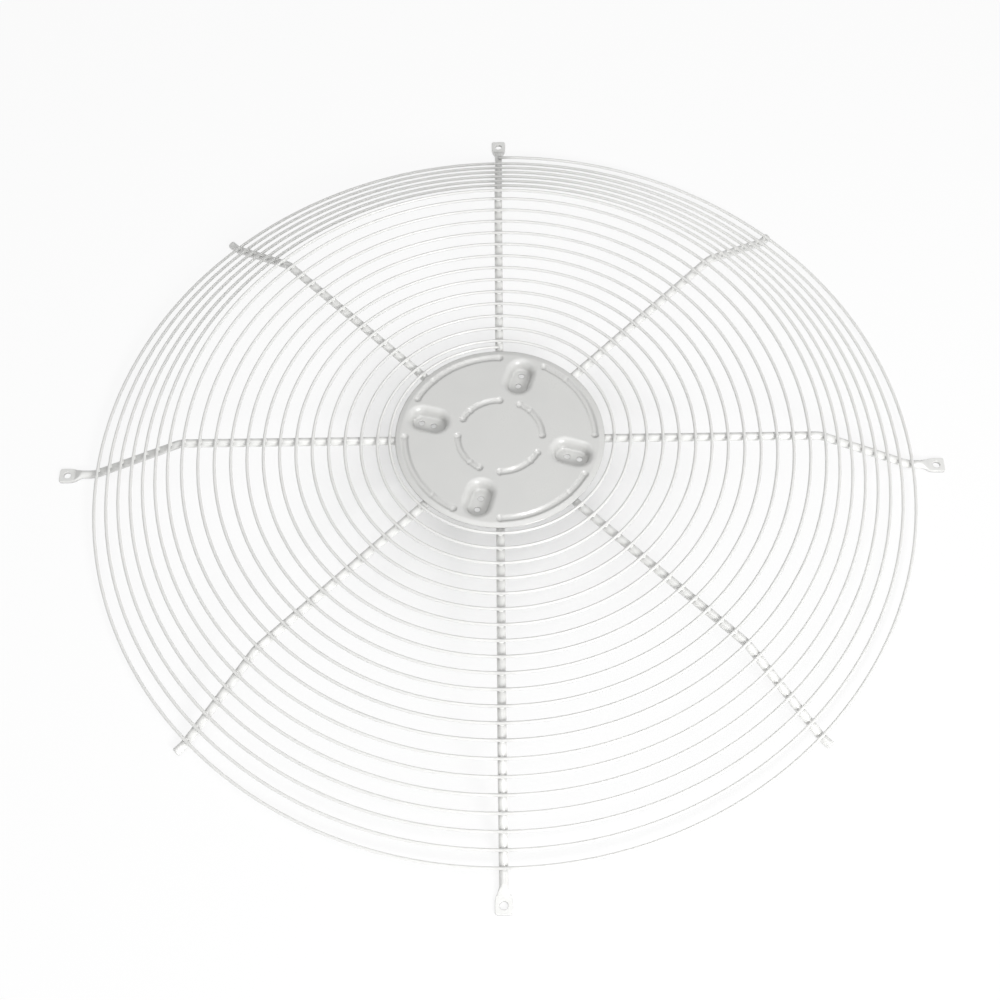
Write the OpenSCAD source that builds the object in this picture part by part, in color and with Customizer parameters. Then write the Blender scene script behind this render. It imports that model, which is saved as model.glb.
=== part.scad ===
// Wire fan guard: a shallow dome of eight round rods, one continuous spiral wire
// welded across them, and a pressed centre disc with four motor pockets.
//
// Millimetres, +Z up. The origin is the centre of the mounting plane: z = 0 is the
// underside of the rod feet and lugs, and the domed face looks towards +Z.
// +X runs through the east lug and +Y through the north lug.

/* [Mounting lugs] */
// Diameter of the circle through the four lug holes
hole_circle_d = 850; // [840:1:880]
// Diameter of each lug hole
lug_hole_d = 7; // [5:0.5:9]
// Width of the flattened rod end
lug_w = 15.2; // [13:0.2:18]
// Thickness of the flattened rod end
lug_t = 3.2; // [2.4:0.2:4]
// Distance from the hole centre out to the tip of the lug
lug_tip = 7.8; // [6.5:0.1:10]
// Length of full-width flat inboard of the hole centre
lug_flat = 9; // [7:0.5:11]
// Length over which the round rod spreads into the flat
lug_flare = 5; // [3:0.5:6]
// Length of the sloped step from the top of the rod down to the flat
lug_step = 3.4; // [2:0.2:5]
// Corner radius at the tip of the lug
lug_corner_r = 1.6; // [0.8:0.2:3]

/* [Dome] */
// Height that the crown of the dome stands above the rod feet
dome_rise = 54; // [40:1:70]
// Level run at the foot, from the rod's last bend out to the lug hole
foot_run = 27.5; // [24:0.5:34]
// Run of the sloping skirt, from the bend at the crown out to the bend at the foot
skirt_run = 95; // [70:0.5:125]
// Bend radius of the rods, measured on the rod axis
bend_r = 20; // [14:1:30]

/* [Radial rods] */
// Diameter of the radial rods
rod_d = 8; // [6:0.5:10]
// Length of the rods past the inner beads, hidden under the centre disc
rod_inner_run = 8.9; // [4:0.1:16]
// Length of the four plain rods past the bend at the foot
plain_rod_run = 10; // [7:0.5:25]

/* [Spiral wire] */
// Diameter of the spiral wire
wire_d = 3; // [2:0.25:4]
// Number of turns from the inner end to the outer end
wire_turns = 21; // [14:1:25]
// Clearance between the centre disc and the first half turn, which runs round it
wire_gap = 3.7; // [1:0.1:10]
// Distance of the wire's outer end past the bend at the foot
wire_end_run = 6; // [4.5:0.25:8.5]
// Depth that a welded wire or bead sinks into the rod under it
weld_sink = 0.3; // [0.1:0.05:0.6]

/* [Centre disc] */
// Diameter of the centre disc
disc_d = 197.6; // [190:0.2:199]
// Thickness of the disc's sheet
sheet_t = 1.5; // [1:0.1:2]
// Depth of the pressed beads, which also sets the disc's height above the rods
bead_depth = 1.6; // [1.3:0.1:2.2]
// Width of a bead at the face of the disc
bead_w = 6.6; // [6:0.2:7.4]
// Distance of the outer bead's centre line inside the rim
outer_bead_inset = 4.4; // [4:0.1:5.4]
// Distance of the inner bead's centre line inside the centres of the pockets
inner_bead_inset = 30.1; // [28:0.1:32]
// Angle from a lug rod to the far end of each arc of bead
bead_span = 61; // [56:0.5:62]
// Depth of the weld dimples below the foot of the beads
dimple_depth = 0.4; // [0.3:0.05:0.6]
// Distance that a weld dimple reaches past the sides of its bead
dimple_margin = 0.5; // [0.4:0.05:0.8]
// Width of the sloped rim
rim_w = 4.8; // [3.8:0.2:5.2]
// Drop of the rim from the face of the disc to its edge
rim_drop = 1; // [0.4:0.1:1.2]
// Size of the chamfer round the edge of the disc
rim_chamfer = 0.4; // [0.2:0.1:0.6]

/* [Motor pockets] */
// Angle of each pocket clockwise from its lug rod, seen from above
pocket_angle = 16; // [14:0.5:24]
// Distance of the centres of the pockets inside the outer bead's centre line
pocket_inset = 19.6; // [18.6:0.1:21.6]
// Length of a pocket along the radius, between the tops of its walls
pocket_len = 37; // [34:0.5:38]
// Width of a pocket across the radius, between the tops of its walls
pocket_w = 24; // [21:0.5:26]
// Slope of the pocket walls from the level
pocket_wall = 70; // [62:1:76]
// Radius of the rounded shoulder where the disc turns down into a pocket
shoulder_r = 6; // [3:0.5:6.5]
// Radius of the rounded corner round the floor of a pocket
floor_corner_r = 2.5; // [1:0.5:3.5]
// Distance of the outer motor hole of a pocket outside the pocket's centre
outer_hole_run = 7.5; // [6:0.1:9]
// Distance of the inner motor hole of a pocket inside the pocket's centre
inner_hole_run = 4.5; // [4:0.1:7]
// Diameter of the motor holes
motor_hole_d = 5.5; // [4:0.5:7]

/* [Hidden] */
$fn = 48;

coat = [0.83, 0.83, 0.82];
over = 1;                                  // how far a cutting tool runs past the metal
core_reach = 1;                            // how far a bend's core runs into the bars beside it
swell = 0.004;                             // extra diameter of every other half turn of wire, so that
                                           // its end face wholly covers its neighbour's
bead_wall = 40;                            // slope of the bead walls from the level

// Radii on the centre disc, worked inwards from its edge
disc_r = disc_d / 2;
rim_r = disc_r - rim_w;
outer_bead_r = rim_r - outer_bead_inset;
pocket_r = outer_bead_r - pocket_inset;
inner_bead_r = pocket_r - inner_bead_inset;

// Radii along the rods, worked inwards from the lug holes
lug_hole_r = hole_circle_d / 2;
lug_start_r = lug_hole_r - lug_flat;
lug_tip_r = lug_hole_r + lug_tip;
foot_r = lug_hole_r - foot_run;
crown_r = foot_r - skirt_run;
rod_inner_r = inner_bead_r - rod_inner_run;

// Rod profile, a line in the plane of radius and height
slope = atan2(dome_rise, skirt_run);
foot_z = rod_d / 2;
crown_z = foot_z + dome_rise;
slope_len = skirt_run / cos(slope);
half_turn = tan(slope / 2);
rod_top = crown_z + rod_d / 2;

// The wire's centre line runs parallel to the rod's axis
wire_start_r = disc_r + wire_gap + wire_d / 2;
wire_lift = rod_d / 2 + wire_d / 2 - weld_sink;
wire_crown_r = crown_r + wire_lift * half_turn;
wire_foot_r = foot_r + wire_lift * half_turn;
crown_arc_r = bend_r + wire_lift;
foot_arc_r = bend_r - wire_lift;
// Distances along the wire's profile at which its parts begin
s_crown = wire_crown_r - crown_arc_r * half_turn;
s_slope = s_crown + crown_arc_r * slope * PI / 180;
s_foot = s_slope + slope_len - (crown_arc_r + foot_arc_r) * half_turn;
s_level = s_foot + foot_arc_r * slope * PI / 180;
level_r = wire_foot_r + foot_arc_r * half_turn;
s_end = s_level + foot_r + wire_end_run - level_r;
wire_pitch = (s_end - wire_start_r) / (wire_turns - 0.5);

// Levels of the centre disc
disc_bottom = rod_top - weld_sink + bead_depth;
disc_top = disc_bottom + sheet_t;
pocket_depth = disc_top - (crown_z - rod_d / 2) - sheet_t;

// Profile of the wire: radius and height at a distance s along it
function arc_deg(s, s0, r) = (s - s0) / r * 180 / PI;
function wire_r(s) =
    s < s_crown ? s :
    s < s_slope ? s_crown + crown_arc_r * sin(arc_deg(s, s_crown, crown_arc_r)) :
    s < s_foot ? s_crown + crown_arc_r * sin(slope) + (s - s_slope) * cos(slope) :
    s < s_level ? level_r - foot_arc_r * sin(slope - arc_deg(s, s_foot, foot_arc_r)) :
    level_r + s - s_level;
function wire_z(s) =
    s < s_crown ? crown_z + wire_lift :
    s < s_slope ? crown_z + wire_lift - crown_arc_r * (1 - cos(arc_deg(s, s_crown, crown_arc_r))) :
    s < s_foot ? crown_z + wire_lift - crown_arc_r * (1 - cos(slope)) - (s - s_slope) * sin(slope) :
    s < s_level ? foot_z + wire_lift + foot_arc_r * (1 - cos(slope - arc_deg(s, s_foot, foot_arc_r))) :
    foot_z + wire_lift;
// Distance along the profile after a number of turns: the first half turn keeps its radius
function wire_s(turn) = wire_start_r + wire_pitch * max(0, turn - 0.5);

// ---------------------------------------------------------------- radial rods

// A bend of the bar about the Y axis through the origin, between the level face at x = 0
// and the same face turned by the given angle. A thin core passes through both faces into
// the straight bars beside them, so that the parts always join.
module bend(turn) {
    block = 2 * bend_r;
    difference() {
        rotate([90, 0, 0]) rotate_extrude() translate([bend_r, 0]) circle(d = rod_d);
        translate([0, -rod_d, -block]) cube([block, 2 * rod_d, 2 * block]);
        rotate([0, turn, 0]) translate([-block, -rod_d, -block])
            cube([block, 2 * rod_d, 2 * block]);
    }
    for (a = [0, turn])
        rotate([0, a, 0]) translate([-core_reach, 0, -sign(turn) * bend_r]) rotate([0, 90, 0])
            cylinder(d = rod_d / 2, h = 2 * core_reach);
}

// The round bar along +X, from a cut end at end_r inwards: level foot, bend, slope, bend
// and level crown. Each part is placed from the bend before it, so the parts meet square.
module bent_rod(end_r) {
    foot_x = foot_r + bend_r * half_turn;
    crown_x = crown_r - bend_r * half_turn;
    straight = slope_len - 2 * bend_r * half_turn;
    translate([foot_x, 0, foot_z + bend_r]) {
        translate([0, 0, -bend_r]) rotate([0, 90, 0]) cylinder(d = rod_d, h = end_r - foot_x);
        bend(slope);
        rotate([0, slope, 0]) {
            translate([0, 0, -bend_r]) rotate([0, -90, 0]) cylinder(d = rod_d, h = straight);
            translate([-straight, 0, -2 * bend_r]) {
                bend(-slope);
                rotate([0, -slope, 0]) translate([0, 0, bend_r]) rotate([0, -90, 0])
                    cylinder(d = rod_d, h = crown_x - rod_inner_r);
            }
        }
    }
}

// Plan of the flattened end: flared neck, square flat, rounded tip corners
module lug_plan() {
    corner = [lug_tip_r - lug_corner_r, lug_w / 2 - lug_corner_r];
    polygon([[lug_start_r - lug_flare, -rod_d / 2], [lug_start_r, -lug_w / 2],
             [corner[0], -lug_w / 2], [corner[0], lug_w / 2],
             [lug_start_r, lug_w / 2], [lug_start_r - lug_flare, rod_d / 2]]);
    translate([corner[0] - lug_corner_r, -corner[1]]) square([2 * lug_corner_r, 2 * corner[1]]);
    for (side = [-1, 1]) translate([corner[0], side * corner[1]]) circle(r = lug_corner_r);
}

// A rod whose foot is pressed flat and punched
module lug_rod() {
    step_x = lug_start_r - lug_step / 2;
    difference() {
        union() {
            difference() {
                bent_rod(lug_start_r + lug_step / 2);
                // the sloped step from the round bar down to the flat
                translate([step_x - lug_step / 2, 0, rod_d])
                    rotate([0, atan2(rod_d - lug_t, lug_step), 0])
                        translate([0, -rod_d, 0]) cube([2 * rod_d, 2 * rod_d, rod_d]);
            }
            linear_extrude(lug_t) lug_plan();
        }
        translate([lug_hole_r, 0, -over]) cylinder(d = lug_hole_d, h = lug_t + 2 * over);
    }
}

module lug_rod_east() color(coat) lug_rod();
module lug_rod_north() color(coat) rotate([0, 0, 90]) lug_rod();
module lug_rod_west() color(coat) rotate([0, 0, 180]) lug_rod();
module lug_rod_south() color(coat) rotate([0, 0, 270]) lug_rod();
module plain_rod_ne() color(coat) rotate([0, 0, 45]) bent_rod(foot_r + plain_rod_run);
module plain_rod_nw() color(coat) rotate([0, 0, 135]) bent_rod(foot_r + plain_rod_run);
module plain_rod_sw() color(coat) rotate([0, 0, 225]) bent_rod(foot_r + plain_rod_run);
module plain_rod_se() color(coat) rotate([0, 0, 315]) bent_rod(foot_r + plain_rod_run);

// ---------------------------------------------------------------- spiral wire

// Half a turn of wire: a true semicircle whose two ends lie on the north and south
// rods. Each one grows by half a pitch about a shifted centre and leans so that its
// radius and its height change together, which keeps it on the dome and lets every
// end face meet the next one square.
module wire_half_turn(k) {
    north = k % 2 == 0;
    s0 = wire_s(k / 2);
    s1 = wire_s((k + 1) / 2);
    r_north = wire_r(north ? s0 : s1);
    r_south = wire_r(north ? s1 : s0);
    z_north = wire_z(north ? s0 : s1);
    z_south = wire_z(north ? s1 : s0);
    lean = atan2(z_north - z_south, r_north + r_south);
    translate([0, (r_north - r_south) / 2, (z_north + z_south) / 2])
        rotate([lean, 0, 0]) rotate([0, 0, north ? 90 : 270])
            rotate_extrude(angle = 180)
                translate([(r_north + r_south) / 2 / cos(lean), 0])
                    circle(d = wire_d + (north ? 0 : swell));
}

module spiral_wire() color(coat)
    for (k = [0 : 2 * wire_turns - 1]) wire_half_turn(k);

// ---------------------------------------------------------------- centre disc

// Half of a pressed section, from its middle out to the face at height 0. half_w is the
// half width at the face, where a wall of the given slope starts down to the foot.
module pressed_half(half_w, depth, wall, shoulder, corner) {
    foot_w = half_w - depth / tan(wall);
    corner_run = corner * tan(wall / 2);
    shoulder_run = shoulder * tan(wall / 2);
    difference() {
        polygon([[0, 0], [0, -depth], [foot_w, -depth], [half_w, 0]]);
        difference() {
            polygon([[foot_w - corner_run, -depth], [foot_w, -depth],
                     [foot_w + corner_run * cos(wall), corner_run * sin(wall) - depth]]);
            translate([foot_w - corner_run, corner - depth]) circle(r = corner);
        }
    }
    difference() {
        polygon([[half_w - shoulder_run * cos(wall), -shoulder_run * sin(wall)],
                 [half_w - shoulder_run, 0], [half_w + shoulder_run, 0]]);
        translate([half_w + shoulder_run, -shoulder]) circle(r = shoulder);
    }
}

module pocket_half(grow)
    pressed_half(pocket_w / 2 + grow * tan(pocket_wall / 2), pocket_depth, pocket_wall,
                 shoulder_r - grow, floor_corner_r + grow);

// The obround that a pocket fills, with its face at height 0 and its length along +X
module pocket_form(grow) {
    reach = (pocket_len - pocket_w) / 2;
    for (end = [-1, 1])
        translate([end * reach, 0, 0]) rotate([0, 0, 180 + 90 * end])
            rotate_extrude(angle = 180) pocket_half(grow);
    for (side = [0, 1])
        mirror([0, side, 0]) translate([-reach, 0, 0]) rotate([90, 0, 90])
            linear_extrude(2 * reach) pocket_half(grow);
}

// The form of a round dimple: a ball's segment, face_r wide and depth deep, with the
// sheet's thickness added round it for the form under the sheet
module dimple(face_r, depth, grow) {
    ball_r = (pow(face_r, 2) + pow(depth, 2)) / (2 * depth);
    rotate_extrude() intersection() {
        translate([0, ball_r - depth + grow]) circle(r = ball_r + grow);
        translate([0, -2 * depth]) square([2 * face_r, 2 * depth]);
    }
}

// Both rings of beads. Each arc starts over a lug rod, crosses a plain rod and stops short
// of the next pocket, with a weld dimple at all three places.
module beads(grow) {
    top = bead_w / 2 + grow * tan(bead_wall / 2);
    foot = top - bead_depth / tan(bead_wall);
    for (radius = [outer_bead_r, inner_bead_r], q = [0 : 3]) rotate([0, 0, 90 * q]) {
        rotate_extrude(angle = bead_span) translate([radius, 0])
            polygon([[-top, 0], [-foot, -bead_depth], [foot, -bead_depth], [top, 0]]);
        for (a = [0, 45, bead_span]) rotate([0, 0, a]) translate([radius, 0, 0])
            dimple(bead_w / 2 + dimple_margin, bead_depth + dimple_depth, grow);
    }
}

module at_pockets()
    for (q = [0 : 3]) rotate([0, 0, 90 * q - pocket_angle]) children();

// All that is pressed down from a face at height 0
module pressings(grow) {
    beads(grow);
    at_pockets() translate([pocket_r, 0, 0]) pocket_form(grow);
}

// The disc: a flat sheet with a sloped rim. The forms pressed out under it are the forms
// cut into it grown by the sheet's thickness.
module hub_disc() color(coat)
    difference() {
        union() {
            rotate_extrude()
                polygon([[0, disc_bottom], [rim_r, disc_bottom],
                         [disc_r - rim_chamfer, disc_bottom - rim_drop],
                         [disc_r, disc_bottom - rim_drop + rim_chamfer],
                         [disc_r, disc_top - rim_drop - rim_chamfer],
                         [disc_r - rim_chamfer, disc_top - rim_drop], [rim_r, disc_top],
                         [0, disc_top]]);
            translate([0, 0, disc_bottom]) pressings(sheet_t);
        }
        translate([0, 0, disc_top]) pressings(0);
        at_pockets() for (hole_r = [pocket_r + outer_hole_run, pocket_r - inner_hole_run])
            translate([hole_r, 0, disc_bottom - pocket_depth - over])
                cylinder(d = motor_hole_d, h = pocket_depth + sheet_t);
    }

hub_disc();
lug_rod_east();
lug_rod_north();
lug_rod_west();
lug_rod_south();
plain_rod_ne();
plain_rod_nw();
plain_rod_sw();
plain_rod_se();
spiral_wire();
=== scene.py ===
"""Looks of a welded wire fan guard: rods, spiral wire, pressed centre disc and welds.

Lengths in the dataclasses are millimetres, and MM turns them into Blender's metres.
"""

import logging
import math
from dataclasses import dataclass, field
from enum import Enum
from typing import Any, Callable, Sequence

import bpy
import numpy as np
from mathutils import Matrix, Vector


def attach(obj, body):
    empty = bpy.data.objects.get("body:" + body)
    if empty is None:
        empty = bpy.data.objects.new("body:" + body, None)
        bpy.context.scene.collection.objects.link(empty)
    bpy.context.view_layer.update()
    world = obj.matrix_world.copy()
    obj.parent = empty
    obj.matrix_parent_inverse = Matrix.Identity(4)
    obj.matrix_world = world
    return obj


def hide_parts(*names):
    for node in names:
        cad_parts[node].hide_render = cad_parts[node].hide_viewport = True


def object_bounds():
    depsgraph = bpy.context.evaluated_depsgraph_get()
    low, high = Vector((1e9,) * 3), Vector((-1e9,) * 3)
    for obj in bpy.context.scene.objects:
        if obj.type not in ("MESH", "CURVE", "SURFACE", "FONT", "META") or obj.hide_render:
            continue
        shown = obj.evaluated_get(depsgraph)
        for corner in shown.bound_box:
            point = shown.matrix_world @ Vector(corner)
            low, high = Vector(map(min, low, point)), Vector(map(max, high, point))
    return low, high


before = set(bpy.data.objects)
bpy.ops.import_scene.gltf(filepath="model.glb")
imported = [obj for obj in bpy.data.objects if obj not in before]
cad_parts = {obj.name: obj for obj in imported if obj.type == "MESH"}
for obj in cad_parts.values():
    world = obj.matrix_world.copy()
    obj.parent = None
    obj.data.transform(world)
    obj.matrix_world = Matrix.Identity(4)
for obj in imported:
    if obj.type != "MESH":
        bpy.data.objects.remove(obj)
CAD_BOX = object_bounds()

log = logging.getLogger("fan_guard")
MM = 0.001
ROOT = "root"
ROD_COUNT = 8
NOISE_MIDDLE = 0.5
EDGE_SAMPLES = 6
EASE_MIDDLE = 0.3
FLOOR_DROP = 0.05
SENSOR_WIDTH = 36.0
CLIP_END = 50.0


# ------------------------------------------------------------------ shader helpers


class Field:
    """A socket that carries a number, with arithmetic that adds Math nodes."""

    def __init__(self, graph: "Graph", socket: bpy.types.NodeSocket) -> None:
        """Wrap a socket of a graph.

        Args:
            graph: The graph that new Math nodes go into.
            socket: The output socket to wrap.
        """
        self.graph = graph
        self.socket = socket

    def _math(self, operation: str, *values: Any) -> "Field":
        """Return the result of one Math node.

        Args:
            operation: The Math node's operation.
            values: Numbers or fields, in the node's order.

        Returns:
            The node's result.
        """
        return self.graph.node("ShaderNodeMath", {"operation": operation},
                               dict(enumerate(values)))

    def __add__(self, other: Any) -> "Field":
        """Add a number or a field.

        Args:
            other: What is added.

        Returns:
            The sum.
        """
        return self._math("ADD", self, other)

    def __sub__(self, other: Any) -> "Field":
        """Subtract a number or a field.

        Args:
            other: What is subtracted.

        Returns:
            The difference.
        """
        return self._math("SUBTRACT", self, other)

    def __rsub__(self, other: Any) -> "Field":
        """Subtract the field from a number, so that 1 - mask works.

        Args:
            other: What the field is taken from.

        Returns:
            The difference.
        """
        return self._math("SUBTRACT", other, self)

    def __mul__(self, other: Any) -> "Field":
        """Multiply by a number or a field.

        Args:
            other: The other factor.

        Returns:
            The product.
        """
        return self._math("MULTIPLY", self, other)

    def clamped(self) -> "Field":
        """Hold the field between 0 and 1.

        Returns:
            The held field.
        """
        return self._math("MINIMUM", self._math("MAXIMUM", self, 0.0), 1.0)


class Graph:
    """The nodes of one material or of the world."""

    def __init__(self, owner: bpy.types.Material | bpy.types.World) -> None:
        """Empty the owner's nodes and keep its tree.

        Args:
            owner: The material or world to fill.
        """
        owner.use_nodes = True
        self.tree = owner.node_tree
        self.tree.nodes.clear()

    def node(self, kind: str, settings: dict[str, Any] | None = None,
             inputs: dict[Any, Any] | None = None, output: Any = 0) -> Field:
        """Add a node of any type.

        Args:
            kind: The node's Blender type name.
            settings: Properties, set before the sockets are filled.
            inputs: Values, or fields to link, by socket name or number.
            output: The output socket to return.

        Returns:
            The chosen output as a field; the node that ends a material has no output, and
            its field is empty.
        """
        made = self.tree.nodes.new(kind)
        for name, value in (settings or {}).items():
            setattr(made, name, value)
        for name, value in (inputs or {}).items():
            socket = made.inputs[name]
            if isinstance(value, Field):
                self.tree.links.new(value.socket, socket)
            else:
                socket.default_value = value
        return Field(self, made.outputs[output] if made.outputs else None)

    def mix_colour(self, amount: Any, first: Any, second: Any) -> Field:
        """Blend two colours with a Mix node.

        Args:
            amount: Share of the second colour.
            first: Colour at amount 0.
            second: Colour at amount 1.

        Returns:
            The blended colour.
        """
        return self.node("ShaderNodeMix", {"data_type": "RGBA"},
                         {0: amount, 6: first, 7: second}, output=2)


def rgba(colour: Sequence[float]) -> tuple[float, float, float, float]:
    """Give a colour full alpha.

    Args:
        colour: Red, green and blue.

    Returns:
        The colour with alpha 1.
    """
    return (colour[0], colour[1], colour[2], 1.0)


# ------------------------------------------------------------------ finishes


@dataclass(frozen=True)
class PowderCoat:
    """Satin powder coat on steel: a fine orange peel with faint clouding in the colour.

    It can also paint shade into the colour: darker in hollows, from an ambient occlusion node,
    and darker on the wire near its crossings with the rods, from a point attribute.
    """

    name: str = "powder_coat"
    colour: tuple[float, float, float] = (0.665, 0.665, 0.650)
    cloud_colour: tuple[float, float, float] = (0.640, 0.641, 0.628)
    cloud_size: float = 38.0
    cloud_contrast: float = 2.4
    roughness: float = 0.30
    roughness_spread: float = 0.10
    ior: float = 1.55
    gloss: float = 0.4
    gloss_roughness: float = 0.2
    peel_size: float = 1.1
    peel_height: float = 0.010
    grain_size: float = 0.32
    grain_height: float = 0.003
    edge_radius: float = 0.5
    # Painted shade in hollows: an ambient occlusion node of this reach darkens the colour by up
    # to this share, faster with a larger gain.
    recess_depth: float = 0.0
    recess_shade: float = 0.30
    recess_gain: float = 1.6
    # Painted shade: the wire's colour darkens towards this one near its crossings with the
    # rods, by this share.
    weld_colour: tuple[float, float, float] = (0.560, 0.558, 0.545)
    weld_share: float = 0.0

    def material(self) -> bpy.types.Material:
        """Make the finish as a material.

        Returns:
            The new material.
        """
        material = bpy.data.materials.new(self.name)
        g = Graph(material)
        place = g.node("ShaderNodeTexCoord", output="Object")

        def noise(size: float, detail: float) -> Field:
            """Make a noise.

            Args:
                size: Rough size of its features, in millimetres.
                detail: How many finer layers it has.

            Returns:
                The noise, about 0.5 in the middle.
            """
            return g.node("ShaderNodeTexNoise", {"noise_dimensions": "3D"},
                          {"Vector": place, "Scale": 1.0 / (size * MM), "Detail": detail})

        clouds = noise(self.cloud_size, 3.0)
        peel = noise(self.peel_size, 1.0)
        grain = noise(self.grain_size, 2.0)
        share = ((clouds - NOISE_MIDDLE) * self.cloud_contrast + NOISE_MIDDLE).clamped()
        colour = g.mix_colour(share, rgba(self.colour), rgba(self.cloud_colour))
        # Painted shade: where little open space is found round a point, the colour darkens, as
        # in pocket floors, bead grooves, hole walls and joints.
        if self.recess_depth:
            open_share = g.node("ShaderNodeAmbientOcclusion", {"samples": EDGE_SAMPLES},
                                {"Distance": self.recess_depth * MM}, output="AO")
            painted_shade_colour = tuple((1 - self.recess_shade) * c for c in self.colour)
            colour = g.mix_colour(((1 - open_share) * self.recess_gain).clamped(), colour,
                                  rgba(painted_shade_colour))
        # Painted shade: the point attribute rises near the wire's crossings with the rods, and
        # the colour darkens there.
        if self.weld_share:
            weld = g.node("ShaderNodeAttribute", {"attribute_name": "weld"}, output="Fac")
            colour = g.mix_colour(weld * self.weld_share, colour, rgba(self.weld_colour))
        spread = self.roughness_spread
        rough = (peel - NOISE_MIDDLE) * spread + (clouds - NOISE_MIDDLE) * spread
        edges = g.node("ShaderNodeBevel", {"samples": EDGE_SAMPLES},
                       {"Radius": self.edge_radius * MM})
        relief = g.node("ShaderNodeBump", None,
                        {"Strength": 1.0, "Distance": MM, "Normal": edges,
                         "Height": peel * self.peel_height + grain * self.grain_height})
        shader = g.node("ShaderNodeBsdfPrincipled", None,
                        {"Base Color": colour, "Roughness": rough + self.roughness,
                         "Metallic": 0.0, "IOR": self.ior, "Coat Weight": self.gloss,
                         "Coat Roughness": self.gloss_roughness, "Normal": relief})
        g.node("ShaderNodeOutputMaterial", None, {"Surface": shader})
        return material


@dataclass(frozen=True)
class PaleFloor:
    """Matt white floor that the camera sees as nearly white, with the object's shadow.

    Its glow is weaker under the guard's centre disc, where the shadow is deepest.
    """

    name: str = "pale_floor"
    colour: tuple[float, float, float] = (0.90, 0.90, 0.90)
    glow: float = 1.0
    glow_share: float = 0.86
    centre_share: float = 0.35
    centre_r: float = 70.0
    open_r: float = 230.0

    def material(self) -> bpy.types.Material:
        """Make the finish as a material.

        Returns:
            The new material.
        """
        material = bpy.data.materials.new(self.name)
        g = Graph(material)
        rays = seen_rays(g)
        matt = g.node("ShaderNodeBsdfDiffuse", None, {"Color": rgba(self.colour)})
        white = g.node("ShaderNodeEmission", None,
                       {"Color": (1.0, 1.0, 1.0, 1.0), "Strength": self.glow})
        place = g.node("ShaderNodeTexCoord", output="Object")
        radius = g.node("ShaderNodeVectorMath", {"operation": "LENGTH"}, {0: place},
                        output="Value")
        share = g.node("ShaderNodeMapRange", {"interpolation_type": "SMOOTHSTEP"},
                       {"Value": radius, "From Min": self.centre_r * MM,
                        "From Max": self.open_r * MM, "To Min": self.centre_share,
                        "To Max": self.glow_share})
        seen = g.node("ShaderNodeMixShader", None, {0: rays * share, 1: matt, 2: white})
        g.node("ShaderNodeOutputMaterial", None, {"Surface": seen})
        return material


def seen_rays(g: Graph) -> Field:
    """Tell the rays that see the floor's glow from the others.

    Args:
        g: The graph of the floor's material.

    Returns:
        1 for rays straight from the camera or mirrored in gloss, and 0 for others.
    """
    camera = g.node("ShaderNodeLightPath", output="Is Camera Ray")
    glossy = g.node("ShaderNodeLightPath", output="Is Glossy Ray")
    return (camera + glossy).clamped()


# ------------------------------------------------------------------ mesh helpers


def grid_faces(rows: int, columns: int, offset: int = 0) -> np.ndarray:
    """Quads of a grid of rows by columns points that closes round its columns.

    Args:
        rows: Points along the grid.
        columns: Points round the grid, the last joined to the first.
        offset: Number of the grid's first point.

    Returns:
        An array of four point numbers a face.
    """
    i, j = np.meshgrid(np.arange(rows - 1), np.arange(columns), indexing="ij")
    k = (j + 1) % columns
    quads = np.stack([i * columns + j, i * columns + k,
                      (i + 1) * columns + k, (i + 1) * columns + j], axis=-1)
    return quads.reshape(-1, 4) + offset


def new_piece(name: str, points: np.ndarray, faces: Sequence[Any],
              material: bpy.types.Material) -> bpy.types.Object:
    """Put points and faces into a smooth mesh that rides on the root body.

    Args:
        name: The piece's name.
        points: Point places in metres, one row each.
        faces: Lists of point numbers, anticlockwise seen from outside.
        material: The piece's finish.

    Returns:
        The new object, at the origin.
    """
    mesh = bpy.data.meshes.new(name)
    mesh.from_pydata(points.tolist(), [], [list(f) for f in faces])
    mesh.polygons.foreach_set("use_smooth", np.ones(len(mesh.polygons), dtype=bool))
    mesh.materials.append(material)
    mesh.update()
    piece = bpy.data.objects.new(name, mesh)
    bpy.context.scene.collection.objects.link(piece)
    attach(piece, ROOT)
    log.info("%s: %d faces", name, len(mesh.polygons))
    return piece


# ------------------------------------------------------------------ the dome's line


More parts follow.
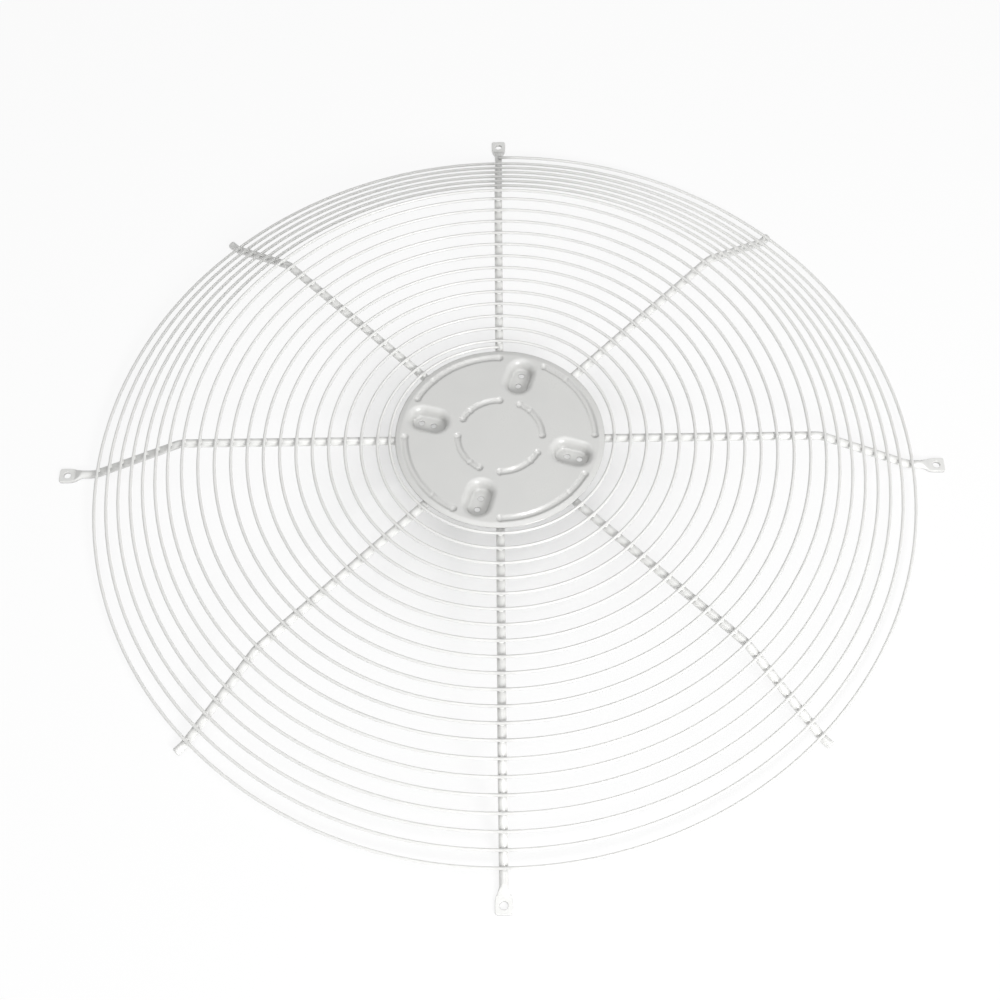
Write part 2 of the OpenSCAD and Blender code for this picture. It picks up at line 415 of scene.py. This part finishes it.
@dataclass(frozen=True)
class DomeLine:
    """A line at a fixed lift over the axis of the rods, in the plane of radius and height."""

    lift: float = 0.0
    rise: float = 54.0
    crown_r: float = 302.5
    foot_r: float = 397.5
    bend_r: float = 20.0
    axis_z: float = 4.0

    @property
    def slope(self) -> float:
        """Slope of the skirt.

        Returns:
            The slope in radians.
        """
        return math.atan2(self.rise, self.foot_r - self.crown_r)

    @property
    def level_r(self) -> float:
        """Find where the line is level again at the foot.

        Returns:
            The radius there.
        """
        return self.foot_r + self.bend_r * math.tan(self.slope / 2)

    def stations(self) -> tuple[float, float, float, float]:
        """Find where the parts of the line start.

        Returns:
            Distances along the line to the crown bend, the slope, the foot bend and the foot.
        """
        half = math.tan(self.slope / 2)
        crown_arc, foot_arc = self.bend_r + self.lift, self.bend_r - self.lift
        start = self.crown_r + self.lift * half - crown_arc * half
        length = (self.foot_r - self.crown_r) / math.cos(self.slope)
        slope_start = start + crown_arc * self.slope
        foot_start = slope_start + length - (crown_arc + foot_arc) * half
        return start, slope_start, foot_start, foot_start + foot_arc * self.slope

    def tilt(self, s: np.ndarray) -> np.ndarray:
        """Downward tilt of the line, in radians, at distances s along it.

        The tilt grows evenly round the crown bend, holds down the skirt and dies away
        evenly round the foot bend.

        Args:
            s: Distances along the line.

        Returns:
            The tilt at each distance.
        """
        return np.interp(s, self.stations(), [0.0, self.slope, self.slope, 0.0])

    def point(self, s: np.ndarray) -> tuple[np.ndarray, np.ndarray]:
        """Radius and height at distances s along the line.

        Level crown, arc of radius bend plus lift, straight skirt, arc of radius bend
        less lift, level foot, each starting where the last one ends.

        Args:
            s: Distances along the line.

        Returns:
            The radii and the heights.
        """
        a, b, c, d = self.stations()
        up, down = self.bend_r + self.lift, self.bend_r - self.lift
        slope, tilt = self.slope, self.tilt(s)
        top = self.axis_z + self.rise + self.lift
        on_skirt = np.clip(s, b, c) - b
        r = np.where(s < a, s, a + up * np.sin(tilt))
        r = np.where(s >= b, a + up * math.sin(slope) + on_skirt * math.cos(slope), r)
        r = np.where(s >= c, self.level_r - down * np.sin(tilt), r)
        r = np.where(s >= d, self.level_r + s - d, r)
        z = top - up * (1 - np.cos(tilt))
        z = np.where(s >= b, top - up * (1 - math.cos(slope)) - on_skirt * math.sin(slope), z)
        z = np.where(s >= c, self.axis_z + self.lift + down * (1 - np.cos(tilt)), z)
        return r, z

    def reach(self, radius: float) -> float:
        """Find a radius on the line's level foot.

        Args:
            radius: The radius, past the foot bend.

        Returns:
            The distance along the line.
        """
        return self.stations()[3] + radius - self.level_r


# ------------------------------------------------------------------ spiral wire


@dataclass
class SpiralWire:
    """One wire wound outwards over the dome as a chain of leaning half circles."""

    finish: PowderCoat
    wire_r: float = 1.5
    rod_r: float = 4.0
    weld_sink: float = 0.3
    turns: int = 21
    start_r: float = 104.0
    end_r: float = 403.5
    steps: int = 80
    sides: int = 14
    # Reach, in millimetres, of the painted shade along the wire from each crossing with a rod.
    weld_reach: float = 5.0
    line: DomeLine = field(init=False)
    centres: np.ndarray = field(init=False)
    outward: np.ndarray = field(init=False)
    upward: np.ndarray = field(init=False)

    def __post_init__(self) -> None:
        """Work out the wire's centre line and the two directions square to it.

        Half turn k joins the north and south rods, at the radii and heights that the
        dome's line has there. It is a half circle whose middle is shifted by half the
        difference of the radii and which leans by the difference of the heights.
        """
        self.line = DomeLine(lift=self.rod_r + self.wire_r - self.weld_sink)
        k = np.arange(2 * self.turns)
        s0, s1 = self.along(k / 2), self.along((k + 1) / 2)
        (r0, z0), (r1, z1) = self.line.point(s0), self.line.point(s1)
        north = k % 2 == 0
        r_n, r_s = np.where(north, r0, r1), np.where(north, r1, r0)
        z_n, z_s = np.where(north, z0, z1), np.where(north, z1, z0)
        lean = np.arctan2(z_n - z_s, r_n + r_s)
        radius = (r_n + r_s) / 2 / np.cos(lean)
        start = np.where(north, math.pi / 2, 3 * math.pi / 2)
        t = start[:, None] + np.linspace(0, math.pi, self.steps, endpoint=False)[None, :]
        t = np.append(t.ravel(), t[-1, 0] + math.pi)
        k_of = np.append(np.repeat(k, self.steps), k[-1])
        lean, radius = lean[k_of], radius[k_of]
        self.outward = np.stack([np.cos(t), np.sin(t) * np.cos(lean),
                                 np.sin(t) * np.sin(lean)], axis=-1)
        self.upward = np.stack([0 * t, -np.sin(lean), np.cos(lean)], axis=-1)
        middle = np.stack([0 * t, ((r_n - r_s) / 2)[k_of], ((z_n + z_s) / 2)[k_of]], axis=-1)
        self.centres = middle + radius[:, None] * self.outward

    def along(self, turn: np.ndarray) -> np.ndarray:
        """Distance along the dome's line after a number of turns.

        The first half turn keeps its radius, and the rest share the distance evenly.

        Args:
            turn: Numbers of turns from the inner end.

        Returns:
            The distance for each.
        """
        pitch = (self.line.reach(self.end_r) - self.start_r) / (self.turns - 0.5)
        return self.start_r + pitch * np.maximum(0.0, turn - 0.5)

    def crossings(self) -> tuple[np.ndarray, np.ndarray]:
        """Where the wire crosses the rods.

        The wire's polar angle only grows, so the place at each multiple of an eighth of
        a turn is read off it by linear interpolation.

        Returns:
            The crossing points and, for every point of the centre line, the distance to
            the nearest crossing.
        """
        angle = np.unwrap(np.arctan2(self.centres[:, 1], self.centres[:, 0]))
        eighths = np.arange(1, ROD_COUNT * self.turns) / ROD_COUNT
        wanted = angle[0] + 2 * math.pi * eighths
        points = np.stack([np.interp(wanted, angle, self.centres[:, i]) for i in range(3)],
                          axis=-1)
        off = np.abs((angle - angle[0]) * ROD_COUNT / (2 * math.pi) % 1.0)
        off = np.minimum(off, 1.0 - off) * 2 * math.pi / ROD_COUNT
        return points, off * np.hypot(self.centres[:, 0], self.centres[:, 1])

    def build(self) -> bpy.types.Object:
        """Sweep the wire's circle along the centre line.

        A point of the surface is the centre plus the wire's radius times cos a outwards
        and sin a upwards, with a going round the wire. The ends close with flat fans.

        Returns:
            The wire.
        """
        a = np.linspace(0, 2 * math.pi, self.sides, endpoint=False)
        ring = (np.cos(a)[None, :, None] * self.outward[:, None, :]
                + np.sin(a)[None, :, None] * self.upward[:, None, :])
        surface = self.centres[:, None, :] + self.wire_r * ring
        points = np.concatenate([surface.reshape(-1, 3), self.centres[[0, -1]]])
        rows, n = len(self.centres), self.sides
        faces = grid_faces(rows, n)[:, ::-1].tolist()
        first, last = rows * n, rows * n + 1
        faces += [[first, j, (j + 1) % n] for j in range(n)]
        base = (rows - 1) * n
        faces += [[last, base + (j + 1) % n, base + j] for j in range(n)]
        wire = new_piece("spiral_wire_drawn", points * MM, faces, self.finish.material())
        # Painted shade: a point attribute that grows towards each crossing with a rod, by which
        # the wire's finish darkens.
        _, away = self.crossings()
        near = np.clip(1 - away / self.weld_reach, 0, 1) ** 2
        share = np.append(np.repeat(near, n), [0.0, 0.0]).astype(np.float32)
        wire.data.attributes.new("weld", "FLOAT", "POINT").data.foreach_set("value", share)
        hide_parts("spiral_wire")
        return wire


# ------------------------------------------------------------------ welds


@dataclass
class WeldNuggets:
    """The squeezed-out metal round each joint of wire and rod."""

    wire: SpiralWire
    finish: PowderCoat
    along_rod: float = 2.3
    along_wire: float = 2.9
    height: float = 0.75
    rings: int = 7
    sides: int = 14
    pole_gap: float = 0.02

    def build(self) -> bpy.types.Object:
        """Lay a flat ball on every joint, as one mesh.

        A point of a ball is its middle plus sin v cos u along the rod, sin v sin u along
        the wire and cos v square to both, each times its half size.

        Returns:
            The nuggets.
        """
        wire = self.wire
        centres, _ = wire.crossings()
        turns = np.arange(1, ROD_COUNT * wire.turns) / ROD_COUNT
        tilt = wire.line.tilt(wire.along(turns))
        angle = np.arctan2(centres[:, 1], centres[:, 0])
        c, s, zero = np.cos(angle), np.sin(angle), 0 * angle
        rod = np.stack([c * np.cos(tilt), s * np.cos(tilt), -np.sin(tilt)], axis=-1)
        round_ = np.stack([-s, c, zero], axis=-1)
        up = np.stack([c * np.sin(tilt), s * np.sin(tilt), np.cos(tilt)], axis=-1)
        seat = centres - up * (wire.wire_r - wire.weld_sink / 2)
        v = np.linspace(self.pole_gap, math.pi - self.pole_gap, self.rings)[:, None]
        u = np.linspace(0, 2 * math.pi, self.sides, endpoint=False)[None, :]
        x, y = self.along_rod * np.sin(v) * np.cos(u), self.along_wire * np.sin(v) * np.sin(u)
        z = self.height * np.cos(v) + 0 * u
        ball = np.stack([x, y, z], axis=-1).reshape(-1, 3)
        axes = np.stack([rod, round_, up], axis=1)
        points = seat[:, None, :] + np.einsum("pk,ckx->cpx", ball, axes)
        per = self.rings * self.sides
        one = grid_faces(self.rings, self.sides)[:, ::-1]
        faces = (one[None] + per * np.arange(len(seat))[:, None, None]).reshape(-1, 4).tolist()
        top = list(range(self.sides))
        bottom = [per - 1 - j for j in range(self.sides)]
        for k in range(len(seat)):
            faces.append([k * per + j for j in top])
            faces.append([k * per + j for j in bottom])
        return new_piece("weld_nuggets", points.reshape(-1, 3) * MM, faces,
                         self.finish.material())


# ------------------------------------------------------------------ rods


class RodEnd(Enum):
    """How a rod ends at the foot of the dome."""

    LUG = "lug_rod"
    CUT = "plain_rod"


@dataclass(frozen=True)
class Lug:
    """The flattened end of a rod: a rounded plate with a bolt hole."""

    hole_at: float = 425.0
    hole_r: float = 3.5
    half_width: float = 7.6
    tip: float = 7.8
    neck: float = 12.5
    thickness: float = 3.2
    tip_power: float = 7.0
    neck_power: float = 2.5
    edge: float = 0.5
    sides: int = 72

    def surface(self) -> tuple[np.ndarray, np.ndarray]:
        """Points and faces of the plate, for a rod along +X.

        At an angle u round the hole the outline lies at (|cos u / length|^p +
        |sin u / width|^p)^(-1/p), where length and power differ outboard and inboard of
        the hole. A closed section runs from the hole's wall over the top to the outline
        and back along the underside, with its four corners eased.

        Returns:
            The points in millimetres and the quads.
        """
        u = np.linspace(0, 2 * math.pi, self.sides, endpoint=False)
        out = np.cos(u) >= 0
        length = np.where(out, self.tip, self.neck)
        power = np.where(out, self.tip_power, self.neck_power)
        rim = (np.abs(np.cos(u) / length) ** power
               + np.abs(np.sin(u) / self.half_width) ** power) ** (-1 / power)
        e, k, t = self.edge, EASE_MIDDLE * self.edge, self.thickness
        ease = [(0, e), (k, k), (e, 0), (e + k, 0)]
        hole = [(self.hole_r + x, z) for x, z in ease]
        across = np.array([x for x, _ in ease])
        radii = [np.full_like(u, x) for x, _ in hole] + [rim - x for x in across[::-1]]
        levels = [z for _, z in hole] + [z for _, z in ease[::-1]]
        radii += radii[::-1]
        levels += [t - z for z in levels[::-1]]
        r, z = np.stack(radii, axis=1), np.array(levels)[None, :]
        points = np.stack([self.hole_at + r * np.cos(u)[:, None], r * np.sin(u)[:, None],
                           z + 0 * r], axis=-1)
        closed = np.concatenate([points, points[:1]])
        faces = grid_faces(self.sides + 1, r.shape[1])[:, ::-1]
        count = self.sides * r.shape[1]
        return closed.reshape(-1, 3)[:count], (faces % count)


@dataclass
class BentRod:
    """A round rod bent over the dome, with a cut end or a flattened and punched one."""

    node: str
    azimuth: float
    end: RodEnd
    finish: bpy.types.Material
    radius: float = 4.0
    inner_r: float = 31.0
    cut_r: float = 407.5
    press_start: float = 408.5
    press_end: float = 419.0
    press_stop: float = 420.6
    pressed_half_width: float = 6.1
    seat: float = 0.015
    flat_power: float = 7.0
    ease: float = 0.6
    sides: int = 32
    bend_steps: int = 9
    press_steps: int = 17
    lug: Lug = Lug()

    def build(self) -> bpy.types.Object:
        """Sweep the section along the dome's line and add the lug.

        A section is the curve y = a |cos v|^(2/p), z = b |sin v|^(2/p) with the signs of
        the cosine and sine. The round bar has a = b and p = 2; over the pressed length a
        grows, b shrinks and p rises while the underside stays on the floor.

        Returns:
            The rod.
        """
        line = DomeLine()
        bends = line.stations()
        stop = line.reach(self.press_stop if self.end is RodEnd.LUG else self.cut_r)
        s = np.concatenate([
            self.inner_r + self.ease * np.array([0, 0, EASE_MIDDLE, 1.0]),
            np.linspace(bends[0], bends[1], self.bend_steps),
            np.linspace(bends[2], bends[3], self.bend_steps),
            np.linspace(line.reach(self.press_start), line.reach(self.press_end),
                        self.press_steps)
            if self.end is RodEnd.LUG else np.array([bends[3] + 1.0]),
            stop - self.ease * np.array([1.0, EASE_MIDDLE, 0, 0])])
        shrink = np.ones_like(s)
        shrink[[0, -1]] = 0.0
        shrink[[1, -2]] = 1 - self.ease / self.radius
        shrink[[2, -3]] = 1 - EASE_MIDDLE * self.ease / self.radius
        r, z = line.point(s)
        tilt = line.tilt(s)
        press = np.zeros_like(s)
        if self.end is RodEnd.LUG:
            press = np.clip((r - self.press_start) / (self.press_end - self.press_start), 0, 1)
            press = press * press * (3 - 2 * press)
        a = self.radius + (self.pressed_half_width - self.radius) * press
        b = self.radius + (self.lug.thickness / 2 - self.seat - self.radius) * press
        power = 2 + (self.flat_power - 2) * press
        z = z - (self.radius - b) * (press > 0)
        v = np.linspace(0, 2 * math.pi, self.sides, endpoint=False)[None, :]
        shape = (2 / power)[:, None]
        y = (a * shrink)[:, None] * np.sign(np.cos(v)) * np.abs(np.cos(v)) ** shape
        h = (b * shrink)[:, None] * np.sign(np.sin(v)) * np.abs(np.sin(v)) ** shape
        points = np.stack([r[:, None] + h * np.sin(tilt)[:, None], y,
                           z[:, None] + h * np.cos(tilt)[:, None]], axis=-1)
        points = np.concatenate([points[0, :1], points[1:-1].reshape(-1, 3), points[-1, :1]])
        n, last = self.sides, len(points) - 1
        faces = (grid_faces(len(s) - 2, n, 1)).tolist()
        faces += [[0, 1 + (j + 1) % n, 1 + j] for j in range(n)]
        faces += [[last, last - n + j, last - n + (j + 1) % n] for j in range(n)]
        if self.end is RodEnd.LUG:
            plate, plate_faces = self.lug.surface()
            faces += (plate_faces + len(points)).tolist()
            points = np.concatenate([points, plate])
        c, q = math.cos(math.radians(self.azimuth)), math.sin(math.radians(self.azimuth))
        points = points @ np.array([[c, q, 0], [-q, c, 0], [0, 0, 1]])
        rod = new_piece(f"{self.node}_drawn", points * MM, faces, self.finish)
        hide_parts(self.node)
        return rod


@dataclass
class RodSet:
    """All eight rods: lugs at the four quarters and cut ends between them."""

    finish: PowderCoat
    quarters: tuple[str, ...] = ("east", "north", "west", "south")
    between: tuple[str, ...] = ("ne", "nw", "sw", "se")

    def build(self) -> list[bpy.types.Object]:
        """Make the rods, all with one finish.

        Returns:
            The rods, anticlockwise from the east.
        """
        coat = self.finish.material()
        made = []
        for k, (quarter, middle) in enumerate(zip(self.quarters, self.between)):
            for side, turn, end in ((quarter, 0.0, RodEnd.LUG), (middle, 45.0, RodEnd.CUT)):
                node = f"{end.value}_{side}"
                made.append(BentRod(node, 90.0 * k + turn, end, coat).build())
        return made


# ------------------------------------------------------------------ centre disc


@dataclass
class CentreDisc:
    """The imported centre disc, which keeps its own shape."""

    finish: PowderCoat
    node: str = "hub_disc"

    def dress(self) -> None:
        """Give the disc its finish."""
        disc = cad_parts[self.node]
        disc.data.materials.clear()
        disc.data.materials.append(self.finish.material())
        log.info("%s: finish %s", self.node, self.finish.name)


# ------------------------------------------------------------------ studio


class LightKind(Enum):
    """The lamps of the studio."""

    KEY = "key_panel"
    OVERHEAD = "overhead_panel"


@dataclass(frozen=True)
class Panel:
    """A square soft lamp aimed at the middle of the guard."""

    kind: LightKind
    azimuth: float
    elevation: float
    distance: float
    size: float
    watts: float

    def build(self) -> None:
        """Add the lamp: azimuth and elevation are degrees, from +X and from the floor."""
        lamp = bpy.data.lights.new(self.kind.value, "AREA")
        lamp.shape, lamp.size, lamp.energy = "SQUARE", self.size, self.watts
        holder = bpy.data.objects.new(self.kind.value, lamp)
        bpy.context.scene.collection.objects.link(holder)
        a, e = math.radians(self.azimuth), math.radians(self.elevation)
        away = Vector((math.cos(e) * math.cos(a), math.cos(e) * math.sin(a), math.sin(e)))
        holder.location = away * self.distance
        holder.rotation_euler = away.to_track_quat("Z", "Y").to_euler()


@dataclass
class Studio:
    """Floor, lamps, world and camera."""

    floor_size: float = 12.0
    world_level: float = 0.305
    world_swing: float = 0.23
    bright_side: tuple[float, float, float] = (0.30, -0.60, 0.74)
    panels: tuple[Panel, ...] = (
        Panel(LightKind.KEY, azimuth=-62.0, elevation=32.0, distance=2.4, size=0.6, watts=34.0),
        Panel(LightKind.OVERHEAD, azimuth=-75.0, elevation=83.0, distance=2.2, size=1.7,
              watts=17.0),
    )
    camera_azimuth: float = 1.049
    camera_elevation: float = 59.673
    camera_roll: float = -1.609
    camera_distance: float = 1429.4
    camera_aim: tuple[float, float, float] = (-0.94, -32.31, 0.0)
    camera_lens: float = 53.13

    def build(self) -> None:
        """Set the floor, lamps, world and camera."""
        self._floor()
        for panel in self.panels:
            panel.build()
        self._world()
        self._camera()
        bpy.context.scene.view_settings.view_transform = "Standard"

    def _floor(self) -> None:
        """Lay a plain square floor just under the guard's feet."""
        half = self.floor_size / 2
        level = CAD_BOX[0][2] - FLOOR_DROP * MM
        corners = [(-half, -half, level), (half, -half, level), (half, half, level),
                   (-half, half, level)]
        mesh = bpy.data.meshes.new("floor")
        mesh.from_pydata(corners, [], [(0, 1, 2, 3)])
        mesh.materials.append(PaleFloor().material())
        floor = bpy.data.objects.new("floor", mesh)
        bpy.context.scene.collection.objects.link(floor)

    def _world(self) -> None:
        """Surround the scene with white light that is brighter over the near right side."""
        world = bpy.data.worlds.new("white_tent")
        g = Graph(world)
        direction = g.node("ShaderNodeTexCoord", output="Generated")
        side = g.node("ShaderNodeVectorMath", {"operation": "DOT_PRODUCT"},
                      {0: direction, 1: self.bright_side}, output="Value")
        sky = g.node("ShaderNodeBackground", None,
                     {"Color": (1.0, 1.0, 1.0, 1.0),
                      "Strength": side * self.world_swing + self.world_level})
        g.node("ShaderNodeOutputWorld", None, {"Surface": sky})
        bpy.context.scene.world = world

    def _camera(self) -> None:
        """Place the camera by its angles and distance from the point that it looks at."""
        a, e = math.radians(self.camera_azimuth), math.radians(self.camera_elevation)
        away = Vector((math.sin(a) * math.cos(e), -math.cos(a) * math.cos(e), math.sin(e)))
        level = Vector((0, 0, 1)).cross(away).normalized()
        roll = Matrix.Rotation(math.radians(self.camera_roll), 3, away)
        right = roll @ level
        up = away.cross(right)
        lens = bpy.data.cameras.new("camera")
        lens.lens, lens.sensor_width, lens.clip_end = self.camera_lens, SENSOR_WIDTH, CLIP_END
        camera = bpy.data.objects.new("camera", lens)
        place = (Vector(self.camera_aim) + away * self.camera_distance) * MM
        rows = [(right[i], up[i], away[i], place[i]) for i in range(3)] + [(0, 0, 0, 1)]
        camera.matrix_world = Matrix(rows)
        bpy.context.scene.collection.objects.link(camera)
        bpy.context.scene.camera = camera


# ------------------------------------------------------------------ assembly


def main() -> None:
    """Build the guard's pieces in order, then the studio; each new piece logs its face count.
    """
    logging.basicConfig(level=logging.INFO, format="%(name)s %(message)s")
    # Painted shade: the disc's finish darkens its pockets, grooves and holes through an ambient
    # occlusion node, and the rods' finish darkens their hole walls and joints.
    CentreDisc(PowderCoat(name="powder_coat_disc", edge_radius=2.2, recess_depth=12.0)).dress()
    # Painted light: rods, wire and welds get a lighter copy of the disc's coat colour, standing
    # in for the brighter light they show; they are the same coat as the disc.
    bar = {"colour": (0.780, 0.780, 0.764), "cloud_colour": (0.755, 0.756, 0.741)}
    RodSet(PowderCoat(name="powder_coat_rods", recess_depth=5.0, recess_shade=0.5,
                      **bar)).build()
    # Painted shade: the wire's finish darkens it near its crossings with the rods.
    wire = SpiralWire(PowderCoat(name="powder_coat_wire", weld_share=0.5, **bar))
    wire.build()
    WeldNuggets(wire, PowderCoat(name="powder_coat_welds", **bar)).build()
    Studio().build()


if __name__ == "__main__":
    main()
